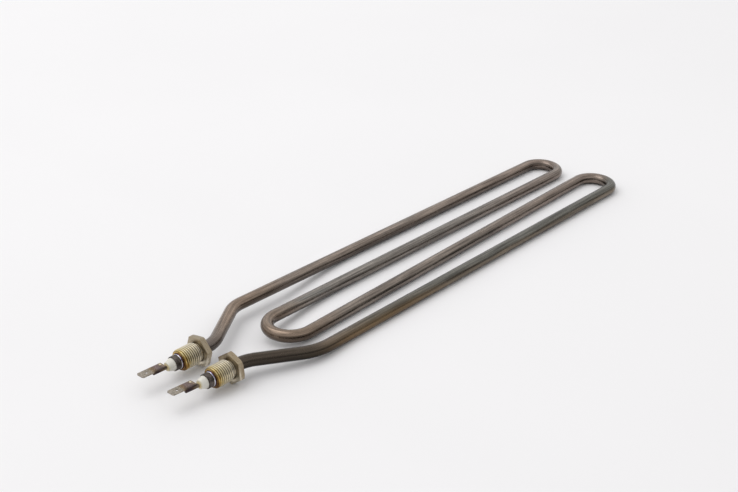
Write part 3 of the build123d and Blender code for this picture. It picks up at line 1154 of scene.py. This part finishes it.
# %% Seal material
SWIRL_PER_M = 380.0
seal_finish, tree = new_finish("cured_silicone_sealant")
place = add(tree, "ShaderNodeTexCoord").outputs["Object"]
swirl = add(
    tree, "ShaderNodeTexNoise", {"Vector": place, "Scale": SWIRL_PER_M, "Detail": 2.0},
).outputs["Fac"]
tone = add(tree, "ShaderNodeValToRGB", {"Fac": swirl})
ramp(tone, [(0.35, "c3ae7d"), (0.60, "d8c69a")])
rough = add(tree, "ShaderNodeMapRange", {"Value": swirl, "To Min": 0.3, "To Max": 0.45})
bump = add(tree, "ShaderNodeBump", {"Height": swirl, "Strength": 0.3, "Distance": 0.1 * MM})
shader = add(
    tree, "ShaderNodeBsdfPrincipled",
    {"Base Color": tone.outputs["Color"], "Roughness": rough.outputs[0], "Normal": bump.outputs[0]},
)
add(tree, "ShaderNodeOutputMaterial", {"Surface": shader.outputs[0]})
print(seal_finish.name, "nodes:", len(tree.nodes))

# %% [markdown]
# ## Beads and seals
# The bead is pressed in a die: a plain cone in front, rounded at the nose where the die released
# it, and a plug that reaches into the tube. A short quadratic curve rounds the nose. The seal is a
# low mound round the pin, with a rim that wanders as the braze does.

# %% Beads and seals
PIN_R = 1.25
BEAD_NOSE_X = -24.1
BEAD_BASE_R = TUBE_R - 0.1
BEAD_NOSE_R = BEAD_BASE_R - 1.15
BEAD_ROUNDING = 0.7  # a little softer than the 0.5 of the CAD source
HOLE_R = PIN_R + 0.1
FILL_END_X = TUBE_END_X + 4.0
PLUG_R = TUBE_R - TUBE_WALL - 0.1
SEAL_THICK = 0.5
SEAL_RIM_R = 2.1
SEAL_SEED = {"left": 12.6, "right": 17.2}


def rounded(x, r, size, steps=5):
    """Points round a section's outer front corner, from the face out to the side."""
    ways = [i / steps for i in range(steps + 1)]
    return [(x + t**2 * size, r - (1 - t) ** 2 * size) for t in ways]


def bead_section(angle):
    """Loop round the bead: hole, nose, cone, and the plug in the tube."""
    return [
        (BEAD_NOSE_X + 0.12, HOLE_R),
        (BEAD_NOSE_X, HOLE_R + 0.12),
        *rounded(BEAD_NOSE_X, BEAD_NOSE_R, BEAD_ROUNDING),
        (TUBE_END_X - 0.6, BEAD_BASE_R),
        (TUBE_END_X, BEAD_BASE_R - 0.1),
        (TUBE_END_X, PLUG_R),
        (FILL_END_X, PLUG_R),
        (FILL_END_X, HOLE_R),
    ]


def sealing(side):
    """The mound of sealant round one pin."""

    def section(angle):
        rim = SEAL_RIM_R + wander(angle, SEAL_SEED[side], 0.12)
        return [
            (BEAD_NOSE_X, PIN_R),
            (BEAD_NOSE_X, rim),
            (BEAD_NOSE_X - 0.16, rim - 0.06),
            (BEAD_NOSE_X - 0.32, rim - 0.24),
            (BEAD_NOSE_X - 0.44, rim - 0.5),
            (BEAD_NOSE_X - SEAL_THICK, PIN_R + 0.1),
            (BEAD_NOSE_X - SEAL_THICK, PIN_R),
        ]

    return turned(side + "_seal", section, side, columns=72)


for side in SIDES:
    bead = turned(side + "_bead", bead_section, side)
    dress(bead, bead_finish, "insulator", side + "_ceramic_insulator")
    dress(sealing(side), seal_finish, "seal", side + "_end_seal")

# %% [markdown]
# ## Finish: welded steel pin
# The pin is drawn low-carbon steel, bare, and welded to its tab. It is nearly black by the weld,
# with a purple cast, and turns to a lighter warm grey towards the bead. Patches of scale are about
# 3.3 mm across.

# %% Pin material
SCALE_PER_M = 300.0
pin_finish, tree = new_finish("welded_low_carbon_steel_pin")
place = add(tree, "ShaderNodeTexCoord").outputs["Object"]
at = add(tree, "ShaderNodeSeparateXYZ", {0: place}).outputs
patch = add(
    tree, "ShaderNodeTexNoise",
    {"Vector": place, "Scale": SCALE_PER_M, "Detail": 4.0, "Roughness": 0.6},
).outputs["Fac"]
drift = add(tree, "ShaderNodeMath", {0: patch, 1: 4 * MM, 2: at["X"]}, operation="MULTIPLY_ADD")
heat = add(
    tree, "ShaderNodeMapRange",
    {"Value": drift.outputs[0], "From Min": -34 * MM, "From Max": -22.5 * MM},
)
tone = add(tree, "ShaderNodeValToRGB", {"Fac": heat.outputs[0]})
ramp(tone, [(0.0, "4a3a31"), (0.35, "3b3038"), (0.62, "5b4a3d"), (1.0, "8c8172")])
rough = add(
    tree, "ShaderNodeMapRange",
    {"Value": patch, "From Min": 0.3, "From Max": 0.7, "To Min": 0.32, "To Max": 0.52},
)
bump = add(tree, "ShaderNodeBump", {"Height": patch, "Strength": 0.3, "Distance": 0.06 * MM})
shader = add(
    tree, "ShaderNodeBsdfPrincipled",
    {
        "Base Color": tone.outputs["Color"], "Metallic": 1.0, "Roughness": rough.outputs[0],
        "Normal": bump.outputs[0],
    },
)
add(tree, "ShaderNodeOutputMaterial", {"Surface": shader.outputs[0]})
print(pin_finish.name, "nodes:", len(tree.nodes))

# %% [markdown]
# ## Terminal pins
# A cold steel pin joins the winding deep in the tube to the tab outside. It follows the joggle of
# the tube, leaves the bead on its axis and leans up by two or three degrees where the welder's jig
# bent it. Its route is therefore made of the same pieces as the sheath's: a short straight end, the
# arc of the lean, and the joggle. The leaning end also gives the frame in which the tab will be
# placed.

# %% Route of a pin
PIN_TILT = {"left": 2.0, "right": 3.5}
TILT_RADIUS = 20.0
TAB_REAR_X = {"left": -25.2, "right": -25.9}
PIN_END_X = -34.4
COLD_END_X = 78.0


def lean(side):
    """Start and end of the pin's bent part and the direction of its straight end."""
    angle = radians(PIN_TILT[side])
    start = Vector((BEAD_NOSE_X - SEAL_THICK, SIDE_Y[side], 0))
    end = start + Vector((-sin(angle), 0, 1 - cos(angle))) * TILT_RADIUS
    return start, end, Vector((-cos(angle), 0, sin(angle)))


def tab_frame(side):
    """Matrix in mm on the leaning pin at the tab's rear edge: X out along the pin, Z up."""
    start, end, out = lean(side)
    rear = end + out * ((end.x - TAB_REAR_X[side]) / -out.x)
    z = Vector((out.z, 0, -out.x))
    y = z.cross(out)
    return Matrix([(out[i], y[i], z[i], rear[i]) for i in range(3)] + [(0, 0, 0, 1)])


def pin_route(side):
    """Points from the pin's tip in front to its cold end deep in the tube."""
    start, end, out = lean(side)
    tip = end + out * ((end.x - PIN_END_X) / -out.x)
    straight_part = [tip + (end - tip) * t for t in stepped(0, 1, 0.1)[:-1]]
    angle = radians(PIN_TILT[side])
    leaning = stepped(angle, 0, angle / 4)
    bend = [start + Vector((-sin(a), 0, 1 - cos(a))) * TILT_RADIUS for a in leaning]
    return straight_part + bend + joggle(side)[1:] + [leg_point(SIDE_LEG[side], COLD_END_X)]


print("points on a pin's route:", [len(pin_route(side)) for side in SIDES])

# %% [markdown]
# ### The pins themselves
# A pin is a round bar along that route: rings of points, each square to the way ahead, the first
# few smaller so that the tip is rounded. A curve with a bevel would do as well, but here the points
# can be moved at once: each one above the flat for the tab is pressed down to it, as the weld jaw
# does.

# %% Pins
PIN_FLAT = 0.15
TIP_ROUND = ((0.0, 0.28), (0.07, 0.09), (0.25, 0.0))  # (back from the tip, less radius)


def swept(name, points, radius, columns=32):
    """Closed round bar along a route, rounded at its first end."""
    rings = []
    for i, point in enumerate(points):
        ahead = points[min(i + 1, len(points) - 1)] - points[max(i - 1, 0)]
        sideways = Vector((0, 0, 1)).cross(ahead).normalized()
        rings.append((point, sideways, ahead.cross(sideways).normalized(), radius))
    tip, sideways, upward, radius = rings[0]
    inward = (points[1] - points[0]).normalized()
    rings[:1] = [(tip + inward * back, sideways, upward, radius - less) for back, less in TIP_ROUND]
    bar = bmesh.new()
    strips = []
    turns = [2 * pi * k / columns for k in range(columns)]
    for point, sideways, upward, size in rings:
        spokes = [sideways * cos(turn) + upward * sin(turn) for turn in turns]
        strips.append([bar.verts.new((point + spoke * size) * MM) for spoke in spokes])
    for strip, following in zip(strips, strips[1:]):
        for k in range(columns):
            j = (k + 1) % columns
            bar.faces.new((strip[k], strip[j], following[j], following[k]))
    for strip, centre in ((strips[0], rings[0][0]), (strips[-1], rings[-1][0])):
        middle = bar.verts.new(centre * MM)
        for k in range(columns):
            bar.faces.new((strip[k], strip[(k + 1) % columns], middle))
    return skin(name, bar)


for side in SIDES:
    pin = swept(side + "_pin", pin_route(side), PIN_R)
    from_tab = tab_frame(side)
    to_tab = from_tab.inverted()
    for vertex in pin.data.vertices:
        local = to_tab @ (vertex.co / MM)
        if local.x > 0 and local.z > PIN_R - PIN_FLAT:
            local.z = PIN_R - PIN_FLAT
            vertex.co = (from_tab @ local) * MM
    dress(pin, pin_finish, "pin", side + "_terminal_pin")

# %% [markdown]
# ## Finish: weld-tinted tab
# The tabs are nickel-plated steel that the weld turned brown and purple, in patches of about 2.4
# mm, with a finer mottle of 0.8 mm. The colours belong to the blade and not to the axes, because
# the tabs lean, so the finish reads the attribute "blade": where a point lies on the flat blank.

# %% Tab: weld tint
PATCH_PER_M, MOTTLE_PER_M = 420.0, 1300.0
tab_finish, tree = new_finish("nickel_plated_steel_weld_tinted")
place = add(tree, "ShaderNodeTexCoord").outputs["Object"]
blade_place = add(tree, "ShaderNodeAttribute", attribute_name="blade").outputs["Vector"]
on_blade = add(tree, "ShaderNodeSeparateXYZ", {0: blade_place}).outputs
patch = add(
    tree, "ShaderNodeTexNoise",
    {"Vector": place, "Scale": PATCH_PER_M, "Detail": 5.0, "Roughness": 0.65},
).outputs["Fac"]
drift = add(
    tree, "ShaderNodeMath", {0: patch, 1: 5 * MM, 2: on_blade["X"]}, operation="MULTIPLY_ADD",
)
heat = add(
    tree, "ShaderNodeMapRange",
    {"Value": drift.outputs[0], "From Min": 2 * MM, "From Max": 18.2 * MM},
)
tone = add(tree, "ShaderNodeValToRGB", {"Fac": heat.outputs[0]})
ramp(
    tone,
    [
        (0.0, "94826f"), (0.16, "6b5a50"), (0.34, "756564"), (0.50, "735f4e"), (0.60, "826f55"),
        (0.68, "8c8376"), (1.0, "968e83"),
    ],
)
print("nodes so far:", len(tree.nodes))

# %% [markdown]
# ### Burnt edge and weld splash
# The near edge lies on the hot pin and is almost black, out to the end of the weld. One splash of
# weld metal stayed bright: it is the distance from one spot on the blade.

# %% Tab: burnt edge and splash
SPLASH_AT = (1.5 * MM, -1.6 * MM, 0.4 * MM)
edge = add(
    tree, "ShaderNodeMapRange",
    {
        "Value": on_blade["Y"], "From Min": 1.2 * MM, "From Max": 2.6 * MM, "To Min": 0.0,
        "To Max": 0.75,
    },
)
hot = add(
    tree, "ShaderNodeMapRange",
    {
        "Value": on_blade["X"], "From Min": 8.5 * MM, "From Max": 10.5 * MM, "To Min": 1.0,
        "To Max": 0.0,
    },
)
edge = add(tree, "ShaderNodeMath", {0: edge.outputs[0], 1: hot.outputs[0]}, operation="MULTIPLY")
burnt = add(
    tree, "ShaderNodeMix",
    {"Factor": edge.outputs[0], UNDER: tone.outputs["Color"], OVER: srgb("2f2624")},
    data_type="RGBA",
)
splash = add(tree, "ShaderNodeVectorMath", {0: blade_place, 1: SPLASH_AT}, operation="DISTANCE")
splash = add(
    tree, "ShaderNodeMapRange",
    {
        "Value": splash.outputs["Value"], "From Min": 0.6 * MM, "From Max": 1.1 * MM, "To Min": 0.9,
        "To Max": 0.0,
    },
)
colour = add(
    tree, "ShaderNodeMix",
    {"Factor": splash.outputs[0], UNDER: burnt.outputs[MIXED], OVER: srgb("e0d5b6")},
    data_type="RGBA",
)
print("splash at, mm:", [round(v / MM, 1) for v in SPLASH_AT])

# %% [markdown]
# ### Mottle and shader
# The fine mottle lies over everything and also makes the gloss uneven. The plating is still metal
# under its colours, so the shader is metallic.

# %% Tab: mottle and shader
mottle = add(
    tree, "ShaderNodeTexNoise",
    {"Vector": place, "Scale": MOTTLE_PER_M, "Detail": 3.0, "Roughness": 0.6},
).outputs["Fac"]
speck = add(
    tree, "ShaderNodeMapRange",
    {"Value": mottle, "From Min": 0.34, "From Max": 0.66, "To Min": 0.1, "To Max": 0.9},
)
colour = add(
    tree, "ShaderNodeMix", {"Factor": 0.6, UNDER: colour.outputs[MIXED], OVER: speck.outputs[0]},
    data_type="RGBA", blend_type="OVERLAY",
)
rough = add(
    tree, "ShaderNodeMapRange",
    {"Value": mottle, "From Min": 0.3, "From Max": 0.7, "To Min": 0.28, "To Max": 0.44},
)
bump = add(tree, "ShaderNodeBump", {"Height": patch, "Strength": 0.3, "Distance": 0.1 * MM})
shader = add(
    tree, "ShaderNodeBsdfPrincipled",
    {
        "Base Color": colour.outputs[MIXED], "Metallic": 1.0, "Roughness": rough.outputs[0],
        "Normal": bump.outputs[0],
    },
)
add(tree, "ShaderNodeOutputMaterial", {"Surface": shader.outputs[0]})
print(tab_finish.name, "nodes:", len(tree.nodes))

# %% [markdown]
# ## Push-on tabs
# The tabs are stamped from 0.8 mm strip: rounded edges on the punch side, cut corners and a thinned
# front edge so that a receptacle slides on, and a small hole that its spring dimple drops into. A
# filled 2D curve with a small bevel gives exactly that kind of edge, and a second loop in it is the
# hole.

# %% Tab blank
TAB_LENGTH = 18.39  # 18.4 in the CAD source, whose box it has to stay inside
TAB_WIDTH = 6.3
TAB_THICK = 0.8
TAB_HOLE_R = 0.95
TAB_HOLE_BACK = 5.3
TAB_HOLE_SIDES = 40
TAB_CORNER = 0.9
STAMP_EDGE = 0.09


def blade(side):
    """A stamped blank that lies flat, its rear edge on the Y axis."""
    half = TAB_WIDTH / 2
    front = [(TAB_LENGTH - TAB_CORNER, -half), (TAB_LENGTH, -half + TAB_CORNER)]
    outline = [(0, -half), *front, *[(x, -y) for x, y in reversed(front)], (0, half)]
    centre = TAB_LENGTH - TAB_HOLE_BACK
    turns = [2 * pi * i / TAB_HOLE_SIDES for i in range(TAB_HOLE_SIDES)]
    hole = [(centre + TAB_HOLE_R * cos(turn), -TAB_HOLE_R * sin(turn)) for turn in turns]
    curve = bpy.data.curves.new(side + "_tab_outline", "CURVE")
    curve.dimensions = "2D"
    curve.fill_mode = "BOTH"
    for loop in (outline, hole):
        spline = curve.splines.new("POLY")
        spline.points.add(len(loop) - 1)
        for spline_point, (x, y) in zip(spline.points, loop):
            spline_point.co = (x * MM, y * MM, 0, 1)
        spline.use_cyclic_u = True
    curve.extrude = (TAB_THICK / 2 - STAMP_EDGE) * MM
    curve.bevel_depth = STAMP_EDGE * MM
    curve.bevel_resolution = 2
    curve.offset = -STAMP_EDGE * MM
    return finished(side + "_tab", show(side + "_tab_source", curve))


print("tab, mm:", TAB_LENGTH, "x", TAB_WIDTH, "x", TAB_THICK)

# %% [markdown]
# ### The tabs in place
# The blank is already a plain mesh, and its loose ends are merged first. Its front is thinned, and
# each point's place on the flat blank is stored as the attribute "blade" of the finish. Only then
# is it put on its leaning pin, a little to one side, as the welder left it.

# %% Tabs
TAB_SHIFT = {"left": 1.2, "right": 2.2}
LEAD_IN = 0.8
LEAD_IN_THINNING = 0.32

for side in SIDES:
    tab = blade(side)
    lie = Vector((0, -TAB_SHIFT[side], PIN_R - PIN_FLAT + TAB_THICK / 2)) * MM
    stand = tab_frame(side)
    stand.translation *= MM
    shell = bmesh.new()
    shell.from_mesh(tab.data)
    bmesh.ops.remove_doubles(shell, verts=shell.verts, dist=1e-6)
    for vertex in shell.verts:
        ahead = vertex.co.x / MM - (TAB_LENGTH - LEAD_IN)
        if ahead > 0:
            vertex.co.z *= 1 - LEAD_IN_THINNING * ahead / LEAD_IN
    layer = shell.verts.layers.float_vector.new("blade")
    for vertex in shell.verts:
        vertex[layer] = vertex.co
    bmesh.ops.transform(shell, matrix=stand @ Matrix.Translation(lie), verts=shell.verts)
    bmesh.ops.recalc_face_normals(shell, faces=shell.faces)
    shell.to_mesh(tab.data)
    shell.free()
    tab.data.shade_flat()
    dress(tab, tab_finish, "tab", side + "_tab_terminal")

# %% [markdown]
# ## What stays hidden
# Inside the sheath, packed magnesia powder holds a resistance winding. Nothing of them shows, but
# they are carried over from the CAD model, so they get honest finishes too. The powder is a pale
# mineral, crushed and pressed hard, so it is quite matt. Its real grain is about a tenth of a
# millimetre and is drawn at 0.7 mm.

# %% Powder material
POWDER_PER_M = 1500.0
powder_finish, tree = new_finish("packed_magnesia_powder")
place = add(tree, "ShaderNodeTexCoord").outputs["Object"]
grain = add(
    tree, "ShaderNodeTexNoise",
    {"Vector": place, "Scale": POWDER_PER_M, "Detail": 5.0, "Roughness": 0.7},
).outputs["Fac"]
tone = add(tree, "ShaderNodeValToRGB", {"Fac": grain})
ramp(tone, [(0.35, "cbc7bd"), (0.62, "e4e1d8")])
bump = add(tree, "ShaderNodeBump", {"Height": grain, "Strength": 0.5, "Distance": 0.1 * MM})
shader = add(
    tree, "ShaderNodeBsdfPrincipled",
    {"Base Color": tone.outputs["Color"], "Roughness": 0.9, "Normal": bump.outputs[0]},
)
add(tree, "ShaderNodeOutputMaterial", {"Surface": shader.outputs[0]})
print(powder_finish.name, "nodes:", len(tree.nodes))

# %% [markdown]
# ### The winding
# The winding is bright nickel-chromium wire, wound so close that it reads as a ribbed rod. The CAD
# model keeps it as its outer shape, so bands across it, 1.4 mm apart, stand for the turns.

# %% Winding material
winding_finish, tree = new_finish("nickel_chromium_winding")
place = add(tree, "ShaderNodeTexCoord").outputs["Object"]
turns = add(
    tree, "ShaderNodeTexWave", {"Vector": place, "Scale": 220.0, "Distortion": 0.6},
    bands_direction="X",
).outputs["Fac"]
tone = add(tree, "ShaderNodeValToRGB", {"Fac": turns})
ramp(tone, [(0.2, "6d6a66"), (0.7, "b4b0a9")])
bump = add(tree, "ShaderNodeBump", {"Height": turns, "Strength": 0.8, "Distance": 0.3 * MM})
shader = add(
    tree, "ShaderNodeBsdfPrincipled",
    {
        "Base Color": tone.outputs["Color"], "Metallic": 1.0, "Roughness": 0.3,
        "Normal": bump.outputs[0],
    },
)
add(tree, "ShaderNodeOutputMaterial", {"Surface": shader.outputs[0]})
print(winding_finish.name, "nodes:", len(tree.nodes))

# %% [markdown]
# ### Finishes on the CAD nodes
# Every CAD node takes the finish of what it is, also the ones that a dressed piece stands for. One
# table goes from the last words of a node's name to its finish.

# %% Finishes for the CAD nodes
carried = {
    "sheath_tube": sheath_finish,
    "magnesia_fill": powder_finish,
    "resistance_coil": winding_finish,
    "threaded_bushing": bushing_finish,
    "braze_ring": braze_finish,
    "end_collar": collar_finish,
    "ceramic_insulator": bead_finish,
    "end_seal": seal_finish,
    "terminal_pin": pin_finish,
    "tab_terminal": tab_finish,
}
for name, node in nodes.items():
    finish = next(finish for ending, finish in carried.items() if name.endswith(ending))
    for material_slot in node.material_slots:
        material_slot.material = finish
print("CAD nodes given finishes:", len(nodes))

# %% [markdown]
# ## Finish: matt white paper
# The element lies on a matt white paper sheet. It is uncoated, so it has almost no gloss and is a
# very little uneven in tone, over a third of a metre.

# %% Paper material
floor_finish, tree = new_finish("matt_white_paper")
place = add(tree, "ShaderNodeTexCoord").outputs["Object"]
fibre = add(tree, "ShaderNodeTexNoise", {"Vector": place, "Scale": 3.0, "Detail": 2.0})
tone = add(tree, "ShaderNodeValToRGB", {"Fac": fibre.outputs["Fac"]})
ramp(tone, [(0.3, "f0eff0"), (0.7, "f2f1f2")])
shader = add(
    tree, "ShaderNodeBsdfPrincipled",
    {"Base Color": tone.outputs["Color"], "Roughness": 0.9, "Specular IOR Level": 0.2},
)
add(tree, "ShaderNodeOutputMaterial", {"Surface": shader.outputs[0]})
print(floor_finish.name, "nodes:", len(tree.nodes))

# %% [markdown]
# ## The floor
# The legs touch the paper. The hexagons are wider than the tube, so they stand on a corner 6.4 mm
# lower, and the paper bows down towards them. The gap under each tube decides how tight its shadow
# is. The paper is a grid of points with the bow in it, fine near the element and coarse far away,
# where it has to reach the horizon.

# %% Floor
LEG_REST_Z = -TUBE_R - 0.02
HEX_REST_Z = -10.63
BOW_STARTS_X = 97.0  # at the right-hand legs
BOW_SKEW = 1.5  # how much further on it starts for each mm to the left
BOW_SKEW_FROM_Y, BOW_SKEW_WIDTH = -15.0, 75.0
BOW_LENGTH = 92.0
BOW_POWER = 1.4
HORIZON = 90000


def paper_height(x, y):
    """Height of the paper: level under the legs, bowed down towards the bushings."""
    starts = BOW_STARTS_X + BOW_SKEW * min(max(y - BOW_SKEW_FROM_Y, 0.0), BOW_SKEW_WIDTH)
    w = min(max((starts - x) / BOW_LENGTH, 0.0), 1.0) ** BOW_POWER
    return LEG_REST_Z + (HEX_REST_Z - LEG_REST_Z) * w * w * (3 - 2 * w)


xs = [-HORIZON, -1000, -400, -150] + stepped(-60, 240, 5) + [400, 1000, HORIZON]
ys = [-HORIZON, -1000, -400, -100] + stepped(-60, 80, 5) + [150, 400, 1000, HORIZON]
points = [Vector((x, y, paper_height(x, y))) * MM for x in xs for y in ys]
row = len(ys)
quads = [
    (i * row + j, (i + 1) * row + j, (i + 1) * row + j + 1, i * row + j + 1)
    for i in range(len(xs) - 1)
    for j in range(row - 1)
]
sheet = bpy.data.meshes.new("paper_floor")
sheet.from_pydata(points, [], quads)
sheet.materials.append(floor_finish)
sheet.shade_smooth()
floor = show("paper_floor", sheet)
print("paper drop to the bushings, mm:", round(LEG_REST_Z - HEX_REST_Z, 2))

# %% [markdown]
# ## Light
# A round metal tube shows its surroundings as stripes along it, so the light is made of things
# worth reflecting. A large key softbox stands behind and to the left, and a weaker one beyond the
# far bends. The rest is the air of a white studio: bright above and behind, darker towards the
# horizon in front, which is the dark line low on each leg. The world's Object coordinate is the
# direction of a ray, so one dot product with the bright direction and one ramp make that air.

# %% Light
def softbox(name, place, aim, width, height, power):
    """A rectangular studio light at a place, aimed at a point, both in metres."""
    lamp = show(name, bpy.data.lights.new(name, "AREA"))
    lamp.data.shape = "RECTANGLE"
    lamp.data.size = width
    lamp.data.size_y = height
    lamp.data.energy = power
    lamp.location = place
    lamp.rotation_euler = (Vector(aim) - Vector(place)).to_track_quat("-Z", "Y").to_euler()


softbox("key_softbox", (-0.5, 0.85, 2.0), (0.2, 0.0, 0.0), 1.7, 1.7, 13.0)
softbox("far_softbox", (0.9, 0.6, 1.3), (0.3, 0.0, 0.0), 2.2, 1.9, 3.2)

BRIGHT_WAY = (0.15, 0.35, 0.925)
AIR_STRENGTH = 0.865
world = bpy.data.worlds.new("studio_air")
world.use_nodes = True
tree = world.node_tree
tree.nodes.clear()
toward = add(tree, "ShaderNodeTexCoord").outputs["Object"]
lean_back = add(tree, "ShaderNodeVectorMath", {0: toward, 1: BRIGHT_WAY}, operation="DOT_PRODUCT")
reach = add(
    tree, "ShaderNodeMapRange",
    {"Value": lean_back.outputs["Value"], "From Min": -0.4, "From Max": 1.0},
)
tent = add(tree, "ShaderNodeValToRGB", {"Fac": reach.outputs[0]})
ramp(
    tent,
    [
        (0.17, 0.33), (0.24, 0.36), (0.34, 0.51), (0.44, 0.78), (0.53, 0.95), (0.62, 1.0),
        (0.70, 0.97), (0.88, 0.95), (1.0, 0.95),
    ],
)
air = add(tree, "ShaderNodeBackground", {"Color": tent.outputs["Color"], "Strength": AIR_STRENGTH})
add(tree, "ShaderNodeOutputWorld", {"Surface": air.outputs[0]})
bpy.context.scene.world = world
bpy.context.scene.view_settings.view_transform = "Standard"
print("lamps:", [lamp.name for lamp in bpy.data.lights])
